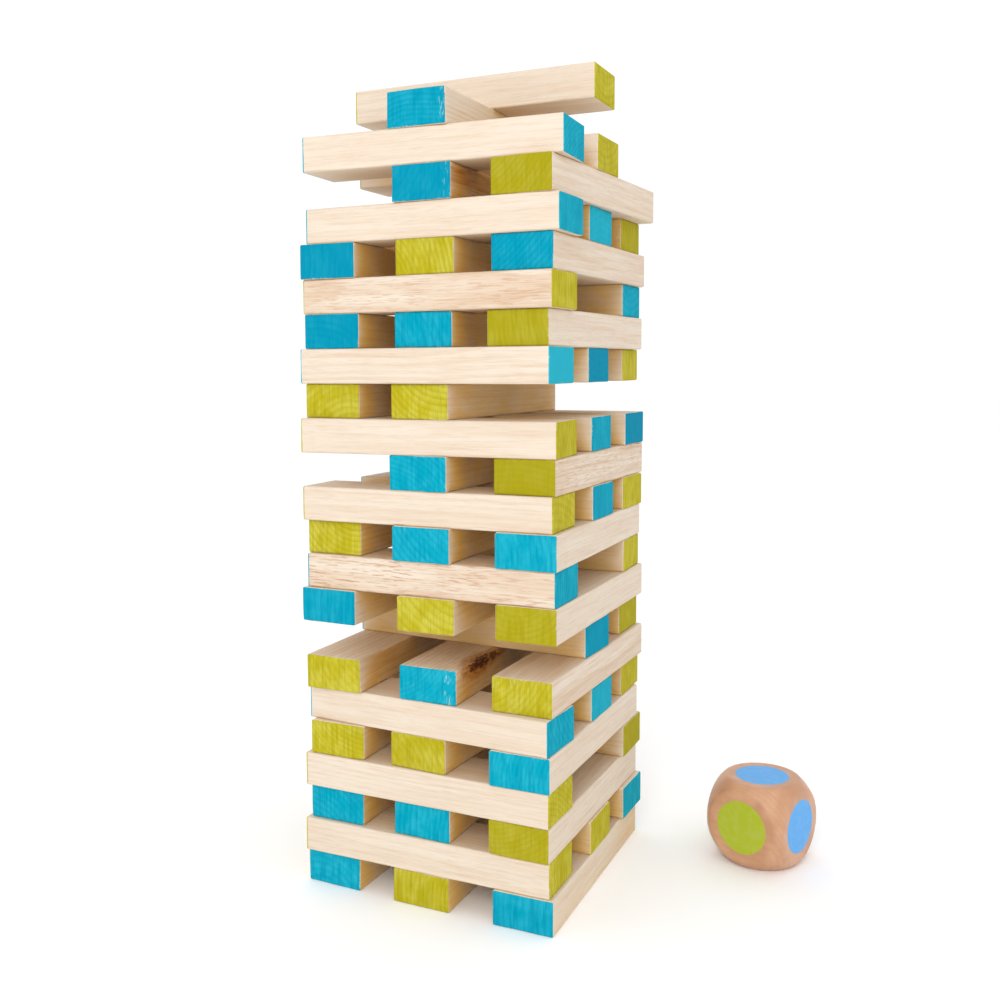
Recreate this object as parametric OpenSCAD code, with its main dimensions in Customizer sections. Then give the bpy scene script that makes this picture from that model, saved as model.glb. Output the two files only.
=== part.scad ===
// Giant tumbling tower in the middle of a game, with its colour die.
// Sixty plain wooden blocks lie in crossed courses. The tower started as twenty full courses of three, and
// six blocks have since been drawn from the middle and laid on top. Half of the blocks have blue ends and
// half have green ends. The rounded die has three blue spots and three green ones, and says which colour
// has to be drawn next.
// Frame: millimetres, +Z up, origin on the ground under the middle of the tower. Blocks of the odd courses
// lie along Y, so their ends face the front (-Y). Blocks of the even courses lie along X.

/* [Block] */
// Length of a block, which is also the side of the square tower
block_length = 196; // [180:1:240]
// Width of a block
block_width = 45; // [36:1:50]
// Height of a block
block_height = 25; // [20:1:40]
// Width of the small flats that break a block's edges
edge_break = 1; // [0.5:0.1:2]
// Thickness of the paint on a block's ends
end_paint = 0.2; // [0.1:0.1:0.5]
// Air between courses, where two sanded faces meet
seat_gap = 0.02; // [0.01:0.01:0.1]

/* [Laying] */
// How far an ordinary block is shifted at most, either way
laid_shift = 2; // [0:0.5:3]
// How far an ordinary block is turned at most, either way, in degrees
laid_turn = 1; // [0:0.1:1.5]
// How far a pushed block stands out
push = 5; // [0:0.5:6]
// How far a swung block is turned, in degrees
swing = 3; // [0:0.1:3]

/* [Colour die] */
// Distance between opposite faces of the die
die_size = 65; // [60:1:75]
// Radius of the ball that rounds off the die's corners
die_ball_radius = 43; // [42:0.5:48]
// Radius of the painted spot on each face
spot_radius = 20.5; // [12:0.5:21]
// Thickness of the paint in a spot
spot_paint = 0.2; // [0.1:0.1:0.5]
// Distance of the die to the right of the tower's middle
die_x = 201; // [190:1:260]
// Distance of the die behind the tower's middle
die_y = 91; // [60:1:140]
// Turn of the die about the vertical
die_turn = -17; // [-45:1:45]

/* [Colours] */
// Bare wood of the blocks
wood = "#EBD9BC"; // Any colour
// Paint of the blue ends
blue = "#1BB3D2"; // Any colour
// Paint of the green ends
green = "#C3B733"; // Any colour
// Varnished wood of the die
die_wood = "#D9A47C"; // Any colour
// Paint of the die's blue spots
die_blue = "#74B8E6"; // Any colour
// Paint of the die's green spots
die_green = "#B2B835"; // Any colour

/* [Hidden] */
$fn = 96;

// Slots of a course, from left to right or from front to back, in steps of one slot
LOW = -1;
MIDDLE = 0;
HIGH = 1;
slot_pitch = (block_length - block_width) / 2;
course_pitch = block_height + seat_gap;

// Paint of each course's blocks, from the ground up, and from left to right or from front to back: b is blue,
// g is green and a dash is an empty slot.
COURSES = [
    "bgb", "ggb", "bbg", "g-g", "ggb", "bbg", "gbg", "-bg", "bgg", "b-g", "gbb", "gbg",
    "-bg", "gbb", "gg-", "bbg", "bbg", "g-b", "bgb", "bbg", "-bg", "bg-", "-b-", "-g-",
];

// Blocks that lie plainly out of line: course, slot, and which way each is pushed along its own length, pushed
// sideways and swung. 0 is not at all.
OUT_OF_LINE = [
    [5, MIDDLE, 0, 0, -1],
    [5, HIGH, -1, 0, 0],
    [6, LOW, 0, 0, -1],
    [6, MIDDLE, 0, 1, 0],
    [8, MIDDLE, 0, 0, -1],
    [10, HIGH, 0, -1, 1],
    [11, LOW, 1, 0, 0],
    [13, HIGH, 1, 0, 0],
    [14, LOW, 0, 0, 1],
    [16, HIGH, -1, 1, 1],
    [20, LOW, 1, 0, 0],
    [21, HIGH, 0, 1, -1],
    [22, LOW, 1, 0, 1],
    [22, MIDDLE, 1, 0, 0],
];

// A block is a pair: its course, counted from the ground, and its slot.
BLOCKS = [
    for (course = [1:len(COURSES)], slot = [LOW:HIGH])
        if (COURSES[course - 1][slot + 1] != "-") [course, slot]
];

BOTTOM_COURSE = [for (row = BLOCKS) if (course(row) == 1) row];
DRAWABLE_BLOCKS = [for (row = BLOCKS) if (course(row) > 1) row];

function course(row) = row[0];
function slot(row) = row[1];
function paint(row) = COURSES[course(row) - 1][slot(row) + 1] == "b" ? blue : green;

// How an ordinary block strays, from -1 to 1: different for each block and for each way of straying
function strays(row, way) = sin(149 * course(row) + 83 * slot(row) + 61 * way);

function out_of_line(row) = [for (known = OUT_OF_LINE) if ([known[0], known[1]] == row) known];
function is_ordinary(row) = len(out_of_line(row)) == 0;
function sticks_out(row) = is_ordinary(row) ? laid_shift * strays(row, 1) : push * out_of_line(row)[0][2];
function off_middle(row) = is_ordinary(row) ? laid_shift * strays(row, 2) : push * out_of_line(row)[0][3];
function turn(row) = is_ordinary(row) ? laid_turn * strays(row, 3) : swing * out_of_line(row)[0][4];

// Blocks of the odd courses lie along Y, those of the even courses along X.
function lies_along_y(row) = course(row) % 2 == 1;
function slot_name(row) = (lies_along_y(row) ? ["left", "middle", "right"] : ["front", "middle", "back"])[slot(row) + 1];
function block_name(row) =
    str("level_", course(row) < 10 ? "0" : "", course(row), "_", slot_name(row), "_block");

// Outline of a box's side whose four corners are cut off at 45 degrees
module broken_rectangle(width, height, cut) {
    x = width / 2;
    y = height / 2;
    polygon([
        [x, cut - y], [x, y - cut], [x - cut, y], [cut - x, y],
        [-x, y - cut], [-x, cut - y], [cut - x, -y], [x - cut, -y],
    ]);
}

// A bare block along X, centred on the origin, with its twelve edges broken
module bare_block() {
    intersection() {
        linear_extrude(block_height, center = true)
            broken_rectangle(block_length, block_width, edge_break);
        rotate([90, 0, 0])
            linear_extrude(block_width, center = true)
                broken_rectangle(block_length, block_height, edge_break);
        rotate([90, 0, 90])
            linear_extrude(block_length, center = true)
                broken_rectangle(block_width, block_height, edge_break);
    }
}

// A block along X, centred on the origin: the wood, and the coat of paint on each end
module painted_block(end_colour) {
    color(wood) intersection() {
        bare_block();
        cube([block_length - 2 * end_paint, block_width, block_height], center = true);
    }
    for (end = [-1, 1])
        color(end_colour) intersection() {
            bare_block();
            translate([end * (block_length - end_paint) / 2, 0, 0])
                cube([end_paint, block_width, block_height], center = true);
        }
}

// One block of the tower, where it lies
module tower_block(row) {
    across = slot(row) * slot_pitch + off_middle(row);
    place = lies_along_y(row) ? [across, sticks_out(row)] : [sticks_out(row), across];
    translate([place.x, place.y, (course(row) - 1) * course_pitch + block_height / 2])
        rotate(turn(row) + (lies_along_y(row) ? 90 : 0))
            painted_block(paint(row));
}

// The three blocks that carry the tower and are never drawn: separate blocks, side by side
module bottom_course() {
    for (row = BOTTOM_COURSE)
        tower_block(row);
}

// A cube rounded off by a ball, centred on the origin
module bare_die() {
    intersection() {
        cube(die_size, center = true);
        sphere(die_ball_radius);
    }
}

// The paint of one spot, on the face that points along +Z before it is turned
module spot(tilt) {
    rotate(tilt)
        translate([0, 0, die_size / 2 - spot_paint])
            cylinder(h = spot_paint, r = spot_radius);
}

// Spots share a colour with neighbours, not with the face opposite.
BLUE_FACES = [[0, 0, 0], [0, 90, 0], [-90, 0, 0]];
GREEN_FACES = [[180, 0, 0], [0, -90, 0], [90, 0, 0]];

module colour_die() {
    translate([die_x, die_y, die_size / 2]) rotate(die_turn) {
        color(die_wood) difference() {
            bare_die();
            for (face = concat(BLUE_FACES, GREEN_FACES))
                spot(face);
        }
        for (face = BLUE_FACES)
            color(die_blue) spot(face);
        for (face = GREEN_FACES)
            color(die_green) spot(face);
    }
}

bottom_course();
for (row = DRAWABLE_BLOCKS)
    tower_block(row);
colour_die();
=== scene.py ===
import math
import random

import bpy
import numpy as np
from mathutils import Matrix, Vector


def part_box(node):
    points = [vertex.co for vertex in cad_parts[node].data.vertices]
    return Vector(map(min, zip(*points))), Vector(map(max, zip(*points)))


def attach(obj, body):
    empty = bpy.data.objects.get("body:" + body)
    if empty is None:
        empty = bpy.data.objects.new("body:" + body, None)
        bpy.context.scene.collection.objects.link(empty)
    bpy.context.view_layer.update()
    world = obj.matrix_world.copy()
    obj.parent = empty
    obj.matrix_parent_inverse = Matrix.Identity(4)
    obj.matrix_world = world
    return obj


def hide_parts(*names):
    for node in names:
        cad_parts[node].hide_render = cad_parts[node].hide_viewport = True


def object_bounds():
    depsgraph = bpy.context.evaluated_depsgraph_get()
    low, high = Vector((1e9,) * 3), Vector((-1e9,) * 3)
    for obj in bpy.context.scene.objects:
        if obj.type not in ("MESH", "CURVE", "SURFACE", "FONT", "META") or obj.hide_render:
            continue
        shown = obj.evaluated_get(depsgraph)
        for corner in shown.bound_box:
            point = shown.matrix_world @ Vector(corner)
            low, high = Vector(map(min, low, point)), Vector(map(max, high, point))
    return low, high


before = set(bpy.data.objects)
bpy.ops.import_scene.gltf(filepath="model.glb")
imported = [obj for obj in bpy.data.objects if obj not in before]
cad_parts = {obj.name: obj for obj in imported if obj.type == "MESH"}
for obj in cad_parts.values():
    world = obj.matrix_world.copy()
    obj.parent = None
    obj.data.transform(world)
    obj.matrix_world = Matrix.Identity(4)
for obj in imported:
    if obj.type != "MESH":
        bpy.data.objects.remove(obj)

cad_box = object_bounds()

# ---------------------------------------------------------------------------------------------------------
# Sizes, in metres. The frame gives every block's place; these are the sizes the blocks were cut to.
# ---------------------------------------------------------------------------------------------------------
BLOCK_SIZE = Vector((0.196, 0.045, 0.025))
EDGE_ROUND = 0.0011
DIE_SIZE = 0.065
DIE_BALL_RADIUS = 0.043
DIE_TURN = math.radians(-17)
SPOT_RADIUS = 0.0205
SPOT_EDGE = 0.0001

GROUND_SIDE = 30.0

# How far from a point other wood still warms the light that falls on it: the reach of the painted gap shade
# in bare_wood
GAP_REACH = 0.08

# Where the camera stands, how far it is turned left, looks down and is tilted, in degrees, and its lens:
# focal length and sensor in millimetres, and how far the picture is shifted, in picture widths
CAMERA_PLACE = Vector((0.3633, -0.7735, 0.3868))
CAMERA_TURNED_LEFT = 25.79
CAMERA_LOOKS_DOWN = 4.36
CAMERA_TILTED = -0.29
CAMERA_FOCAL_LENGTH = 39.78
CAMERA_SENSOR = 36.0
CAMERA_SHIFT_X = 0.0313
CAMERA_SHIFT_Y = -0.0487


def colour(red, green, blue):
    """A colour given as it looks on a screen, 0 to 255, turned into the linear values that shaders take."""
    def linear(c):
        c /= 255
        return c / 12.92 if c <= 0.04045 else ((c + 0.055) / 1.055) ** 2.4
    return (linear(red), linear(green), linear(blue), 1.0)


PALE_WOOD = colour(220, 207, 190)
LATE_WOOD = colour(202, 173, 144)
FLECK_BROWN = colour(176, 122, 80)
BROWN_WOOD = colour(182, 132, 78)
BARK = colour(70, 40, 24)
# Painted shade: the tint multiplied into wood in the gaps between blocks, standing in for shade and bounced
# light
PAINTED_GAP_SHADE_TINT = (1.06, 0.78, 0.26, 1.0)
BLUE_PAINT = colour(0, 155, 178)
BLUE_IN_LATE_WOOD = colour(0, 124, 156)
BLUE_WORN_THIN = colour(46, 175, 195)
GREEN_PAINT = colour(178, 167, 30)
GREEN_IN_LATE_WOOD = colour(148, 138, 20)
GREEN_WORN_THIN = colour(202, 194, 84)
WORN_PAINT = colour(206, 214, 196)
DIE_WOOD = colour(186, 137, 104)
DIE_LATE_WOOD = colour(176, 122, 90)
DIE_PALE_WOOD = colour(208, 164, 130)
DIE_BLUE = colour(72, 158, 224)
DIE_GREEN = colour(163, 176, 22)
GROUND_WHITE = colour(252, 252, 252)
WHITE = colour(255, 255, 255)


# ---------------------------------------------------------------------------------------------------------
# The tower's blocks: paint, and the ones whose wood is out of the ordinary
# ---------------------------------------------------------------------------------------------------------
# Paint of each level's blocks, from left to right on odd levels and from front to back on even ones:
# b is blue, g is green and a dash is an empty slot.
LEVELS = (
    "bgb", "ggb", "bbg", "g-g", "ggb", "bbg", "gbg", "-bg", "bgg", "b-g", "gbb", "gbg",
    "-bg", "gbb", "gg-", "bbg", "bbg", "g-b", "bgb", "bbg", "-bg", "bg-", "-b-", "-g-",
)
ALONG_Y_SLOTS = ("left", "middle", "right")
ALONG_X_SLOTS = ("front", "middle", "back")

# Wood of a block, where each share is from 0 to 1: how strong its rings and its flecks are, how brown it is,
# how much bark is left along one edge, and how strongly the rings show through the paint on its ends.
# heart is where the tree's middle was, in metres from the block's own middle, across and up, and None draws
# it at random. scratches are short pale upright strokes on the painted ends: how far across, in metres, and
# how strong. tone is how pale or, below 0, how dark the paint on its ends is.
ORDINARY = {
    "rings": 0.2, "flecks": 0.1, "brown": 0.04, "bark": 0.0,
    "end_rings": 0.34, "heart": None, "scratches": (0.0, 0.0), "tone": 0.0,
}
SPECIAL = {
    "level_02_back_block": {"tone": 0.2},
    "level_03_right_block": {"tone": -0.45},
    "level_04_back_block": {"tone": -0.5},
    "level_06_middle_block": {"tone": 0.3},
    "level_07_left_block": {"rings": 0.5, "flecks": 0.2, "brown": 0.3},
    "level_07_middle_block": {
        "rings": 0.5, "flecks": 0.3, "brown": 0.22, "bark": 0.62,
        "heart": (0.03, 0.03), "scratches": (-0.016, 0.8),
    },
    "level_07_right_block": {"rings": 0.35, "flecks": 0.12, "brown": 0.3, "scratches": (0.006, 0.6)},
    "level_08_middle_block": {"tone": -0.4},
    "level_08_back_block": {"tone": -0.3},
    "level_09_left_block": {"tone": -0.3},
    "level_09_middle_block": {"end_rings": 0.45, "heart": (-0.03, 0.05)},
    "level_09_right_block": {"tone": -0.5},
    "level_10_front_block": {"rings": 0.35, "flecks": 0.7, "brown": 0.25},
    "level_11_left_block": {"rings": 0.5, "end_rings": 0.5, "heart": (-0.02, 0.03)},
    "level_11_middle_block": {"end_rings": 0.5, "heart": (-0.05, 0.05)},
    "level_12_middle_block": {"tone": -0.2, "end_rings": 0.45, "heart": (-0.03, 0.03)},
    "level_13_middle_block": {"tone": 0.25},
    "level_13_right_block": {"rings": 0.55, "flecks": 0.45, "brown": 0.4, "tone": -0.75},
    "level_14_back_block": {"tone": -0.9},
    "level_15_middle_block": {"end_rings": 0.45, "heart": (-0.03, 0.06)},
    "level_16_front_block": {"rings": 0.45, "tone": 0.9},
    "level_16_middle_block": {"tone": -0.9},
    "level_17_left_block": {"tone": -0.65},
    "level_17_middle_block": {"tone": -0.35},
    "level_17_right_block": {"tone": -0.5},
    "level_18_front_block": {"tone": 0.3, "rings": 0.75, "flecks": 0.4, "brown": 0.3, "heart": (0.05, 0.0)},
    "level_18_back_block": {"tone": 0.35},
    "level_19_left_block": {"tone": -0.45},
    "level_19_middle_block": {"tone": -0.35, "end_rings": 0.5, "heart": (0.05, -0.02)},
    "level_19_right_block": {
        "tone": -0.55, "rings": 0.45, "brown": 0.2, "end_rings": 0.5, "heart": (0.06, 0.06),
    },
    "level_20_middle_block": {"tone": 0.8},
    "level_20_back_block": {"tone": -0.4},
    "level_21_middle_block": {
        "tone": -0.65, "rings": 0.7, "flecks": 0.5, "brown": 0.7, "scratches": (-0.019, 0.5),
    },
    "level_21_right_block": {"tone": -0.75, "rings": 0.4, "end_rings": 0.5, "heart": (0.05, 0.05)},
    "level_23_middle_block": {
        "tone": -0.5, "rings": 0.4, "end_rings": 0.45, "heart": (0.0, -0.06), "scratches": (-0.0205, 0.8),
    },
}


# ---------------------------------------------------------------------------------------------------------
# Materials
# ---------------------------------------------------------------------------------------------------------
class Shading:
    """A node material under construction. Each method adds one node and returns the socket it gives."""

    def __init__(self, name):
        self.material = bpy.data.materials.new(name)
        self.material.use_nodes = True
        self.tree = self.material.node_tree
        self.shader = self.tree.nodes["Principled BSDF"]

    def node(self, kind, inputs, **settings):
        made = self.tree.nodes.new(kind)
        for key, value in settings.items():
            setattr(made, key, value)
        for key, value in inputs.items():
            self.feed(made.inputs[key], value)
        return made

    def feed(self, socket, value):
        if isinstance(value, bpy.types.NodeSocket):
            self.tree.links.new(value, socket)
        else:
            socket.default_value = value

    def attribute(self, name, part="Vector"):
        return self.node("ShaderNodeAttribute", {}, attribute_name=name).outputs[part]

    def maths(self, operation, *values):
        inputs = dict(enumerate(values))
        return self.node("ShaderNodeMath", inputs, operation=operation).outputs[0]

    def vector_maths(self, operation, *values):
        inputs = dict(enumerate(values))
        return self.node("ShaderNodeVectorMath", inputs, operation=operation).outputs[0]

    def length(self, vector):
        return self.node("ShaderNodeVectorMath", {0: vector}, operation="LENGTH").outputs["Value"]

    def parts(self, vector):
        return self.node("ShaderNodeSeparateXYZ", {0: vector}).outputs

    def join(self, x, y, z):
        return self.node("ShaderNodeCombineXYZ", {0: x, 1: y, 2: z}).outputs[0]

    def noise(self, place, scale, detail=3.0, roughness=0.5):
        inputs = {"Vector": place, "Scale": scale, "Detail": detail, "Roughness": roughness}
        return self.node("ShaderNodeTexNoise", inputs).outputs["Fac"]

    def rise(self, value, low, high, floor=0.0, ceiling=1.0):
        """A smooth rise from floor, where value is low, to ceiling, where value is high."""
        inputs = {"Value": value, "From Min": low, "From Max": high, "To Min": floor, "To Max": ceiling}
        return self.node("ShaderNodeMapRange", inputs, interpolation_type="SMOOTHSTEP").outputs[0]

    def mix(self, share, low, high, blend="MIX"):
        made = self.node("ShaderNodeMix", {}, data_type="RGBA", blend_type=blend)
        self.feed(made.inputs["Factor"], share)
        self.feed(made.inputs[6], low)
        self.feed(made.inputs[7], high)
        return made.outputs[2]

    def openness(self, reach):
        """How open each point is to its surroundings within that reach, from 0 where something lies on it."""
        made = self.node("ShaderNodeAmbientOcclusion", {"Distance": reach}, samples=8)
        return made.outputs["AO"]

    def bump(self, height, depth):
        made = self.node("ShaderNodeBump", {"Height": height, "Strength": 1.0, "Distance": depth})
        self.feed(self.shader.inputs["Normal"], made.outputs[0])


def year_rings(s, place, heart, lot):
    """How far into a year's late wood each point is, and how dark that year is, both 0 to 1. The rings run
    round the tree's middle, which lies along the block beside it, and drift a little as a real trunk does."""
    x, y, z = s.parts(place)[0:3]
    across, up, width = s.parts(heart)[0:3]
    slow = s.vector_maths("MULTIPLY", place, (4.0, 16.0, 16.0))
    drift = s.noise(s.vector_maths("ADD", slow, lot), 1.0, 1.0)
    quick = s.vector_maths("MULTIPLY", place, (30.0, 260.0, 260.0))
    shiver = s.noise(s.vector_maths("ADD", quick, lot), 1.0, 2.0)
    beside = s.join(0.0, s.maths("SUBTRACT", y, across), s.maths("SUBTRACT", z, up))
    radius = s.length(beside)
    radius = s.maths("ADD", radius, s.maths("MULTIPLY", drift, 0.012))
    radius = s.maths("ADD", radius, s.maths("MULTIPLY", shiver, 0.0009))
    radius = s.maths("ADD", radius, s.maths("MULTIPLY", x, 0.01))
    years = s.maths("DIVIDE", radius, width)
    year = s.maths("FRACT", years)
    late = s.maths("MULTIPLY", s.rise(year, 0.3, 0.88), s.rise(year, 1.0, 0.93))
    own = s.node("ShaderNodeTexWhiteNoise", {"W": s.maths("ADD", s.maths("FLOOR", years), s.parts(lot)[1])},
                 noise_dimensions="1D").outputs["Value"]
    return late, s.maths("ADD", 0.45, s.maths("MULTIPLY", own, 0.55))


def fibres(s, place, lot, width, length, detail=3.0):
    """Streaks that run along the block, of about that width and length in metres."""
    stretched = s.vector_maths("MULTIPLY", place, (1 / length, 1 / width, 1 / width))
    return s.noise(s.vector_maths("ADD", stretched, lot), 1.0, detail, 0.55)


def bare_wood():
    """Pale sanded softwood: faint rings and fibres, short flecks, bark left on a rare block's edge, and
    painted shade in the gaps.
    """
    s = Shading("bare_pale_wood")
    place = s.attribute("place")
    lot = s.attribute("lot")
    wood = s.parts(s.attribute("wood"))
    rings, flecks, brown = wood[0], wood[1], wood[2]
    late, own = year_rings(s, place, s.attribute("heart"), lot)
    broad = fibres(s, place, lot, 0.011, 0.12, 1.0)
    streaks = fibres(s, place, lot, 0.0014, 0.05)
    hairs = fibres(s, place, lot, 0.0005, 0.014)
    dashes = fibres(s, place, s.vector_maths("ADD", lot, (3.0, 7.0, 1.0)), 0.001, 0.013, 2.0)
    stretched = s.vector_maths("MULTIPLY", place, (14.0, 60.0, 60.0))
    patches = s.noise(s.vector_maths("ADD", stretched, lot), 1.0, 1.0)

    base = s.mix(s.rise(broad, 0.3, 0.7, 0.0, 0.16), PALE_WOOD, LATE_WOOD)
    base = s.mix(s.maths("MULTIPLY", s.maths("MULTIPLY", late, own), rings), base, LATE_WOOD)
    base = s.mix(s.rise(streaks, 0.48, 0.72, 0.0, 0.34), base, LATE_WOOD)
    base = s.mix(s.rise(hairs, 0.5, 0.75, 0.0, 0.16), base, FLECK_BROWN)
    veins = s.maths("ADD", s.rise(broad, 0.35, 0.65, 0.0, 0.6), s.rise(streaks, 0.4, 0.65, 0.0, 0.4))
    base = s.mix(s.maths("MULTIPLY", s.maths("MULTIPLY", veins, own), brown), base, BROWN_WOOD)
    marks = s.maths("MULTIPLY", s.rise(dashes, 0.52, 0.64), s.rise(patches, 0.3, 0.6, 0.5, 1.0))
    base = s.mix(s.maths("MULTIPLY", marks, flecks), base, FLECK_BROWN)

    bark = s.attribute("bark", "Fac")
    base = s.mix(s.rise(bark, 0.0, 0.25, 0.0, 0.6), base, BROWN_WOOD)
    shortened = s.vector_maths("MULTIPLY", place, (0.35, 1.0, 1.0))
    crust = s.noise(s.vector_maths("ADD", shortened, lot), 520.0, 4.0, 0.7)
    bark_share = s.rise(s.maths("ADD", bark, s.maths("MULTIPLY", crust, 1.2)), 0.6, 1.1)
    bark_share = s.maths("MULTIPLY", bark_share, s.rise(bark, 0.0, 0.1))
    base = s.mix(bark_share, base, s.mix(s.rise(s.maths("ADD", bark, crust), 0.8, 1.05), BROWN_WOOD, BARK))

    # Painted shade and bounce light: wood in a gap is darkened and browned in its colour by how closed in it
    # is.
    # Light that bounces from wood to wood gets warmer each time, so wood in a gap looks browner than outside.
    # A render's few bounces give only part of that, and this painted tint stands in for the rest. Faces that
    # lie flat get a quarter of it.
    openness = s.openness(GAP_REACH)
    painted_gap_shade = s.maths("MULTIPLY", s.rise(openness, 0.64, 0.22), s.rise(openness, 0.0, 0.08))
    lies_flat = s.maths("ABSOLUTE", s.parts(s.node("ShaderNodeNewGeometry", {}).outputs["Normal"])[2])
    painted_gap_shade = s.maths("MULTIPLY", painted_gap_shade, s.rise(lies_flat, 0.3, 0.8, 1.0, 0.25))
    base = s.mix(painted_gap_shade, base, PAINTED_GAP_SHADE_TINT, "MULTIPLY")

    s.feed(s.shader.inputs["Base Color"], base)
    s.feed(s.shader.inputs["Roughness"], s.rise(streaks, 0.3, 0.7, 0.55, 0.72))
    s.shader.inputs["Specular IOR Level"].default_value = 0.22
    relief = s.maths("ADD", s.maths("MULTIPLY", streaks, 0.5), s.maths("MULTIPLY", hairs, 0.5))
    relief = s.maths("SUBTRACT", relief, s.maths("MULTIPLY", late, 0.3))
    relief = s.maths("ADD", relief, s.maths("MULTIPLY", s.maths("MULTIPLY", bark_share, crust), 4.0))
    s.bump(relief, 0.00016)
    return s.material


def end_paint(name, tint, in_late_wood, worn_thin):
    """Thin matt stain on end grain. The rings show through, brush strokes run across, and it is thin in
    places and rubbed off here and there near the edges."""
    s = Shading(name)
    place = s.attribute("place")
    lot = s.attribute("lot")
    wear = s.parts(s.attribute("wear"))
    tone = s.attribute("tone", "Fac")
    late, own = year_rings(s, place, s.attribute("heart"), lot)
    y, z = s.parts(place)[1:3]
    own_place = s.vector_maths("ADD", place, lot)
    blotches = s.noise(own_place, 70.0, 3.0, 0.6)
    grain = s.noise(own_place, 1500.0, 2.0, 0.6)
    brushed = s.noise(s.vector_maths("MULTIPLY", own_place, (1.0, 520.0, 45.0)), 1.0, 3.0)

    base = s.mix(s.rise(blotches, 0.35, 0.7, 0.0, 0.6), tint, worn_thin)
    base = s.mix(s.rise(brushed, 0.45, 0.7, 0.0, 0.45), base, in_late_wood)
    base = s.mix(s.rise(brushed, 0.45, 0.25, 0.0, 0.45), base, worn_thin)
    base = s.mix(s.maths("MULTIPLY", s.maths("MULTIPLY", late, own), wear[2]), base, in_late_wood)
    base = s.mix(s.rise(grain, 0.5, 0.75, 0.0, 0.35), base, in_late_wood)
    base = s.mix(s.rise(tone, 0.0, 1.0, 0.0, 0.65), base, worn_thin)
    base = s.mix(s.rise(tone, 0.0, -1.0, 0.0, 0.75), base, in_late_wood)

    to_side = s.maths("SUBTRACT", BLOCK_SIZE.y / 2, s.maths("ABSOLUTE", y))
    to_top = s.maths("SUBTRACT", BLOCK_SIZE.z / 2, s.maths("ABSOLUTE", z))
    to_edge = s.maths("MINIMUM", to_side, to_top)
    grit = s.noise(own_place, 900.0, 2.0)
    rubbed_places = s.noise(own_place, 55.0, 1.0)
    rubbed = s.maths("ADD", to_edge, s.maths("MULTIPLY", s.maths("SUBTRACT", 0.5, grit), 0.003))
    rubbed = s.maths("MULTIPLY", s.rise(rubbed, 0.0007, 0.0), s.rise(rubbed_places, 0.54, 0.68))
    # Short pale upright strokes, where another block has struck. wear says how far across the end they are,
    # and how strong.
    off_scratches = s.maths("ABSOLUTE", s.maths("SUBTRACT", y, wear[0]))
    strokes = s.noise(s.vector_maths("MULTIPLY", own_place, (1.0, 800.0, 170.0)), 1.0, 1.0)
    scratches = s.maths("MULTIPLY", s.rise(strokes, 0.55, 0.7), s.rise(off_scratches, 0.004, 0.001))
    rubbed = s.maths("MAXIMUM", rubbed, s.maths("MULTIPLY", scratches, wear[1]))
    base = s.mix(s.maths("MULTIPLY", rubbed, 0.5), base, WORN_PAINT)

    s.feed(s.shader.inputs["Base Color"], base)
    s.feed(s.shader.inputs["Roughness"], s.rise(blotches, 0.3, 0.7, 0.6, 0.8))
    s.shader.inputs["Specular IOR Level"].default_value = 0.03
    s.bump(s.maths("ADD", s.maths("MULTIPLY", late, 0.5), s.maths("MULTIPLY", grain, 0.7)), 0.00012)
    return s.material


def die_finish():
    """Varnished hardwood, with a printed spot in the middle of each face."""
    s = Shading("varnished_die_wood")
    place = s.attribute("place")
    lot = s.attribute("lot")
    late, own = year_rings(s, place, s.attribute("heart"), lot)
    streaks = fibres(s, place, lot, 0.0009, 0.02)
    pores = fibres(s, place, s.vector_maths("ADD", lot, (5.0, 2.0, 8.0)), 0.0004, 0.004)
    blush = s.noise(s.vector_maths("ADD", place, lot), 45.0, 2.0)
    base = s.mix(s.rise(blush, 0.35, 0.7, 0.0, 0.7), DIE_WOOD, DIE_PALE_WOOD)
    base = s.mix(s.maths("MULTIPLY", s.maths("MULTIPLY", late, own), 0.2), base, DIE_LATE_WOOD)
    base = s.mix(s.rise(streaks, 0.45, 0.75, 0.0, 0.22), base, DIE_LATE_WOOD)
    base = s.mix(s.rise(pores, 0.58, 0.7, 0.0, 0.4), base, DIE_LATE_WOOD)

    x, y, z = s.parts(place)[0:3]
    high, low = [], []
    for axis, others in ((x, (y, z)), (y, (x, z)), (z, (x, y))):
        flat = s.join(others[0], others[1], 0.0)
        off_axis = s.length(flat)
        disc = s.rise(off_axis, SPOT_RADIUS + SPOT_EDGE, SPOT_RADIUS - SPOT_EDGE)
        near = DIE_SIZE / 2 - 0.0015
        high.append(s.maths("MULTIPLY", disc, s.maths("GREATER_THAN", axis, near)))
        low.append(s.maths("MULTIPLY", disc, s.maths("LESS_THAN", axis, -near)))
    blue_spots = s.maths("MAXIMUM", s.maths("MAXIMUM", high[0], high[1]), high[2])
    green_spots = s.maths("MAXIMUM", s.maths("MAXIMUM", low[0], low[1]), low[2])
    mottle = s.rise(s.noise(place, 260.0, 3.0), 0.35, 0.7, 0.0, 0.03)
    base = s.mix(blue_spots, base, s.mix(mottle, DIE_BLUE, WHITE))
    base = s.mix(green_spots, base, s.mix(mottle, DIE_GREEN, WHITE))
    s.feed(s.shader.inputs["Base Color"], base)
    spots = s.maths("MAXIMUM", blue_spots, green_spots)
    s.feed(s.shader.inputs["Roughness"], s.rise(spots, 0.0, 1.0, 0.4, 0.5))
    s.shader.inputs["Specular IOR Level"].default_value = 0.3
    s.shader.inputs["Coat Weight"].default_value = 0.2
    s.shader.inputs["Coat Roughness"].default_value = 0.25
    relief = s.maths("ADD", s.maths("MULTIPLY", spots, 0.6), s.maths("MULTIPLY", streaks, 0.2))
    s.bump(relief, 0.00015)
    return s.material


def ground_finish():
    s = Shading("ground")
    s.shader.inputs["Base Color"].default_value = GROUND_WHITE
    s.shader.inputs["Roughness"].default_value = 0.9
    s.shader.inputs["Specular IOR Level"].default_value = 0.1
    return s.material


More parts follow.
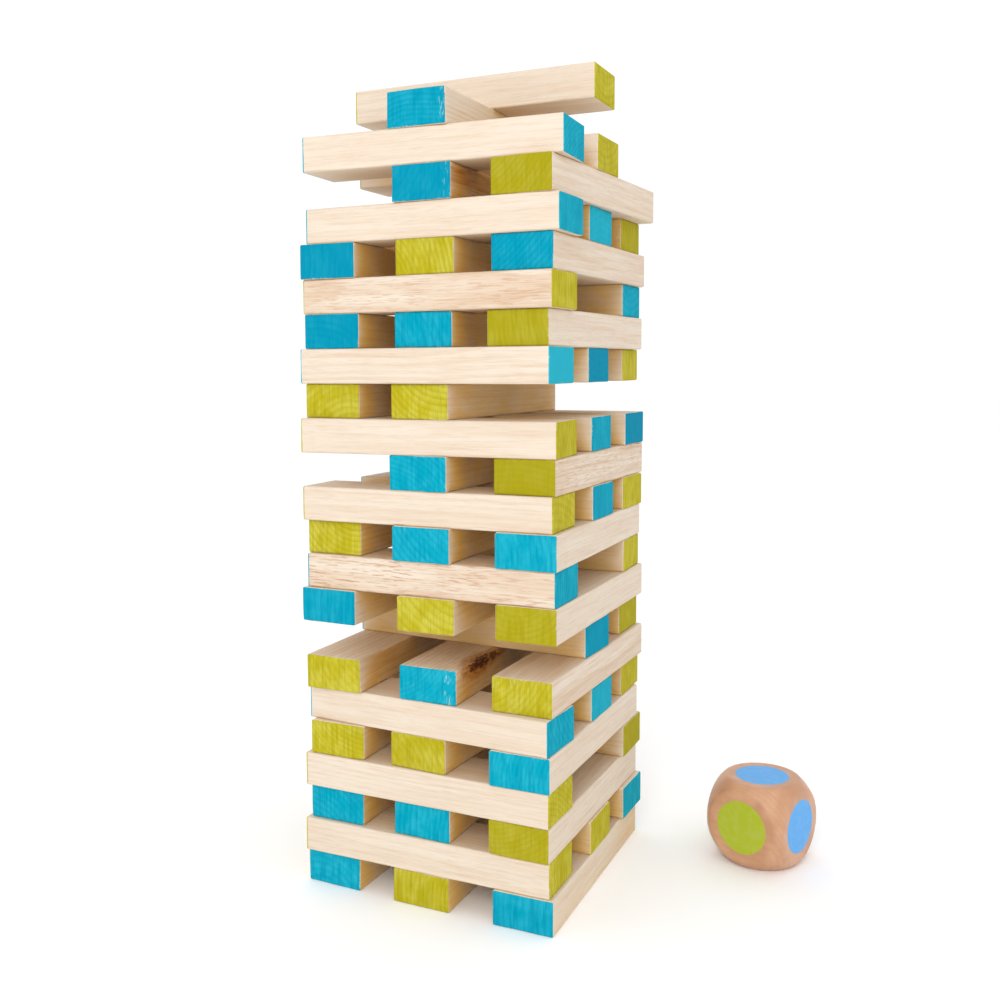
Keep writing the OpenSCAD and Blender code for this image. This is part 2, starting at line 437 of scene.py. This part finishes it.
# ---------------------------------------------------------------------------------------------------------
# Meshes
# ---------------------------------------------------------------------------------------------------------
def spaced(half, round_radius, steps):
    """Coordinates across a side: close together where the edges round off, even in between."""
    turn = math.tan(math.radians(22.5))
    edge = [half, half - round_radius * (1 - turn), half - round_radius, half - 1.4 * round_radius]
    inner = list(np.linspace(-edge[-1], edge[-1], steps + 1))
    return np.array([-e for e in edge[:-1]] + inner + edge[-2::-1])


def box_skin(sides):
    """Corners and quads of a box's skin, cut along the coordinates given for each axis. Returns the points
    and the faces, each a list of four point numbers, wound outward."""
    counts = [len(side) for side in sides]
    number, points, faces = {}, [], []

    def point(index):
        if index not in number:
            number[index] = len(points)
            points.append([sides[axis][index[axis]] for axis in range(3)])
        return number[index]

    for axis in range(3):
        u, v = (axis + 1) % 3, (axis + 2) % 3
        for end in (0, counts[axis] - 1):
            for i in range(counts[u] - 1):
                for j in range(counts[v] - 1):
                    quad = []
                    for di, dj in ((0, 0), (1, 0), (1, 1), (0, 1)):
                        index = [0, 0, 0]
                        index[axis], index[u], index[v] = end, i + di, j + dj
                        quad.append(point(tuple(index)))
                    faces.append(quad if end else quad[::-1])
    return np.array(points), faces


def wavy(points, seed, size):
    """Smooth random values from -1 to 1 at the points, with bumps of about that size."""
    chance = np.random.default_rng(seed)
    waves = 6
    stretch = 1.6
    total = np.zeros(len(points))
    for _ in range(waves):
        direction = chance.normal(size=3)
        direction /= np.linalg.norm(direction)
        total += np.sin(points @ direction * (2 * math.pi / size) + chance.uniform(0, 2 * math.pi))
    return total / waves * stretch


def set_values(mesh, name, values):
    """A value or a vector at every point of a mesh, for its materials to read."""
    values = np.asarray(values, np.float32)
    kind = "FLOAT" if values.ndim == 1 else "FLOAT_VECTOR"
    layer = mesh.attributes.new(name, kind, "POINT")
    layer.data.foreach_set("value" if kind == "FLOAT" else "vector", values.ravel())


def new_piece(name, points, faces, values, materials, turned):
    """A piece whose object holds its place in the tower, and whose points hold values for the materials."""
    mesh = bpy.data.meshes.new(name)
    mesh.from_pydata(points.tolist(), [], faces)
    for material in materials:
        mesh.materials.append(material)
    mesh.polygons.foreach_set("use_smooth", [True] * len(faces))
    for key, value in values.items():
        set_values(mesh, key, value)
    mesh.update()
    piece = bpy.data.objects.new(name, mesh)
    piece.matrix_world = turned
    bpy.context.collection.objects.link(piece)
    return piece


def block_skin(seed, bark):
    """A block along X, centred on the origin: round edges, rubbed unevenly, with a few knocks along them,
    and where the bark was, an edge that isn't quite square. Returns points, faces and the bark at a point."""
    half = BLOCK_SIZE / 2
    sides = [spaced(half.x, EDGE_ROUND, 64), spaced(half.y, EDGE_ROUND, 8), spaced(half.z, EDGE_ROUND, 6)]
    raw, faces = box_skin(sides)
    inner = np.clip(raw, -(np.array(half) - EDGE_ROUND), np.array(half) - EDGE_ROUND)
    out = raw - inner
    length = np.linalg.norm(out, axis=1)
    normal = out / length[:, None]
    points = inner + normal * EDGE_ROUND
    on_edge = (np.abs(out) > 1e-6).sum(axis=1) > 1
    rubbed = 0.00012 * (1 + wavy(points, seed, 0.03)) * on_edge
    points = points - normal * rubbed[:, None]

    chance = random.Random(seed)
    for _ in range(5):
        knock = np.array([chance.uniform(-1, 1) * half.x, chance.choice((-1, 1)) * half.y,
                          chance.choice((-1, 1)) * half.z])
        reach = chance.uniform(0.003, 0.007)
        near = np.exp(-((points - knock) ** 2).sum(axis=1) / reach ** 2)
        points = points - normal * (near * chance.uniform(0.0002, 0.0005) * on_edge)[:, None]

    off_edge = np.linalg.norm(points[:, 1:] - np.array([-half.y, half.z - 0.0035]), axis=1)
    ragged = 0.0095 * (1 + 0.5 * wavy(points * [1, 0, 0], seed + 7, 0.05))
    off_patch = np.abs(points[:, 0] + half.x - 0.048) / 0.046
    bark_here = bark * np.clip(1 - off_edge / ragged, 0, 1) * np.clip(1.6 * (1 - off_patch), 0, 1)
    to_middle = np.array([0, 0.7, -0.7])
    points = points + to_middle * (bark_here * 0.0013)[:, None]
    return points, faces, bark_here


def block_frame(corners):
    """Where a block lies, from the points of its CAD solid: its middle, and the direction in which its points
    spread furthest, which is the direction of its length."""
    low, high = corners.min(axis=0), corners.max(axis=0)
    middle = (low + high) / 2
    flat = corners[:, :2] - middle[:2]
    spread = flat.T @ flat
    values, vectors = np.linalg.eigh(spread)
    along = vectors[:, np.argmax(values)]
    return middle, along


def cad_blocks(node):
    """The points of each separate block in a CAD node, from left to right."""
    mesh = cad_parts[node].data
    points = np.array([v.co for v in mesh.vertices], float)
    group = list(range(len(points)))

    def leader(i):
        while group[i] != i:
            i = group[i]
        return i

    same_place = {}
    for i, p in enumerate(points):
        key = tuple(np.round(p, 5))
        group[leader(i)] = leader(same_place.setdefault(key, i))
    for edge in mesh.edges:
        group[leader(edge.vertices[0])] = leader(edge.vertices[1])
    leaders = [leader(i) for i in range(len(points))]
    parts = [points[[k == one for k in leaders]] for one in sorted(set(leaders))]
    return sorted(parts, key=lambda part: part[:, 0].mean())


def make_block(name, corners, node, body, seed, wood, materials):
    """A block in the place of a CAD block, with its own grain."""
    middle, along = block_frame(corners)
    towards_back = abs(along[1]) > abs(along[0])
    if along[1 if towards_back else 0] < 0:
        along = -along
    # A block's own frame has its length along X, from the left or from the front, and its top up.
    angle = math.atan2(along[1], along[0])
    turned = Matrix.Translation(Vector(middle)) @ Matrix.Rotation(angle, 4, "Z")
    points, faces, bark_here = block_skin(seed, wood["bark"])

    chance = random.Random(seed + 1000)
    heart = wood["heart"]
    if heart is None:
        direction = chance.uniform(0, 2 * math.pi)
        distance = chance.uniform(0.03, 0.09)
        heart = (distance * math.cos(direction), distance * math.sin(direction))
    ring_width = chance.uniform(0.0032, 0.0055)
    lot = [chance.uniform(0, 50) for _ in range(3)]
    rings = wood["rings"] * chance.uniform(0.7, 1.2)
    flecks = wood["flecks"] * chance.uniform(0.8, 1.2)
    brown = wood["brown"] + chance.uniform(0, 0.06)
    ones = np.ones((len(points), 1))
    values = {
        "place": points,
        "lot": ones * lot,
        "heart": ones * [heart[0], heart[1], ring_width],
        "wood": ones * [rings, flecks, brown],
        "wear": ones * [*wood["scratches"], wood["end_rings"]],
        "bark": bark_here,
        "tone": np.full(len(points), wood["tone"] + chance.uniform(-0.3, 0.2)),
    }
    piece = new_piece(name, points, faces, values, materials, turned)
    # The paint reaches a little way round the edges, further on the left end of an even level's block.
    high_end = BLOCK_SIZE.x / 2 - EDGE_ROUND * 0.6
    low_end = -BLOCK_SIZE.x / 2 + EDGE_ROUND * (0.6 if towards_back else 1.4)
    for face in piece.data.polygons:
        face.material_index = 1 if face.center.x > high_end or face.center.x < low_end else 0
    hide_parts(node)
    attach(piece, body)
    return piece


def make_tower():
    wood_finish = bare_wood()
    paints = {
        "b": end_paint("blue_end_paint", BLUE_PAINT, BLUE_IN_LATE_WOOD, BLUE_WORN_THIN),
        "g": end_paint("green_end_paint", GREEN_PAINT, GREEN_IN_LATE_WOOD, GREEN_WORN_THIN),
    }
    seed = 0
    for level, paint in enumerate(LEVELS, start=1):
        slots = ALONG_Y_SLOTS if level % 2 else ALONG_X_SLOTS
        bottom = cad_blocks("bottom_course") if level == 1 else None
        for i, end in enumerate(paint):
            if end == "-":
                continue
            seed += 1
            name = f"level_{level:02d}_{slots[i]}_block"
            node = "bottom_course" if level == 1 else name
            corners = bottom[i] if level == 1 else cad_blocks(node)[0]
            wood = {**ORDINARY, **SPECIAL.get(name, {})}
            make_block(name + ".wood", corners, node, node, seed, wood, [wood_finish, paints[end]])


def make_die():
    """The die: a cube rounded off by a ball, its ridges softened by the varnish."""
    half = DIE_SIZE / 2
    steps = 40
    raw, faces = box_skin([np.tan(np.linspace(-math.pi / 4, math.pi / 4, steps + 1)) for _ in range(3)])
    direction = raw / np.linalg.norm(raw, axis=1)[:, None]
    to_cube = half / np.abs(direction).max(axis=1)
    soft = 0.0006
    gap = np.clip(0.5 + (DIE_BALL_RADIUS - to_cube) / (2 * soft), 0, 1)
    radius = DIE_BALL_RADIUS * (1 - gap) + to_cube * gap - soft * gap * (1 - gap)
    points = direction * radius[:, None]
    ones = np.ones((len(points), 1))
    values = {
        "place": points,
        "lot": ones * [4.0, 9.0, 2.0],
        "heart": ones * [0.07, 0.05, 0.003],
    }
    low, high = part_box("colour_die")
    turned = Matrix.Translation((low + high) / 2) @ Matrix.Rotation(DIE_TURN, 4, "Z")
    die = new_piece("colour_die.wood", points, faces, values, [die_finish()], turned)
    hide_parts("colour_die")
    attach(die, "colour_die")


# ---------------------------------------------------------------------------------------------------------
# Ground, light and camera
# ---------------------------------------------------------------------------------------------------------
def make_ground():
    half = GROUND_SIDE / 2
    mesh = bpy.data.meshes.new("ground")
    corners = [(-half, -half, 0), (half, -half, 0), (half, half, 0), (-half, half, 0)]
    mesh.from_pydata(corners, [], [(0, 1, 2, 3)])
    mesh.materials.append(ground_finish())
    ground = bpy.data.objects.new("ground", mesh)
    bpy.context.collection.objects.link(ground)


def make_light(name, place, size, power, target):
    light = bpy.data.lights.new(name, "AREA")
    light.shape = "DISK"
    light.size = size
    light.energy = power
    lamp = bpy.data.objects.new(name, light)
    lamp.location = place
    lamp.rotation_euler = (Vector(target) - Vector(place)).to_track_quat("-Z", "Y").to_euler()
    bpy.context.collection.objects.link(lamp)


def make_lights():
    middle = (cad_box[0] + cad_box[1]) / 2
    make_light("key", (0.5, -2.6, 1.75), 1.4, 24, middle)
    make_light("low_front", (0.9, -2.9, 0.6), 1.0, 6, middle)
    world = bpy.data.worlds.new("studio")
    world.use_nodes = True
    world.node_tree.nodes["Background"].inputs["Color"].default_value = (1.0, 1.0, 1.0, 1.0)
    world.node_tree.nodes["Background"].inputs["Strength"].default_value = 1.05
    bpy.context.scene.world = world
    bpy.context.scene.view_settings.view_transform = "Standard"


def make_camera():
    """Stands to the right of the tower's front, a little over half way up, and looks slightly down."""
    lens = bpy.data.cameras.new("camera")
    lens.lens = CAMERA_FOCAL_LENGTH
    lens.sensor_width = CAMERA_SENSOR
    lens.shift_x = CAMERA_SHIFT_X
    lens.shift_y = CAMERA_SHIFT_Y
    lens.clip_start = 0.01
    camera = bpy.data.objects.new("camera", lens)
    turned_left = Matrix.Rotation(math.radians(CAMERA_TURNED_LEFT), 4, "Z")
    looks_down = Matrix.Rotation(math.pi / 2 - math.radians(CAMERA_LOOKS_DOWN), 4, "X")
    tilted = Matrix.Rotation(math.radians(CAMERA_TILTED), 4, "Z")
    camera.matrix_world = Matrix.Translation(CAMERA_PLACE) @ turned_left @ looks_down @ tilted
    bpy.context.collection.objects.link(camera)
    bpy.context.scene.camera = camera


make_camera()
make_ground()
make_lights()
make_tower()
make_die()
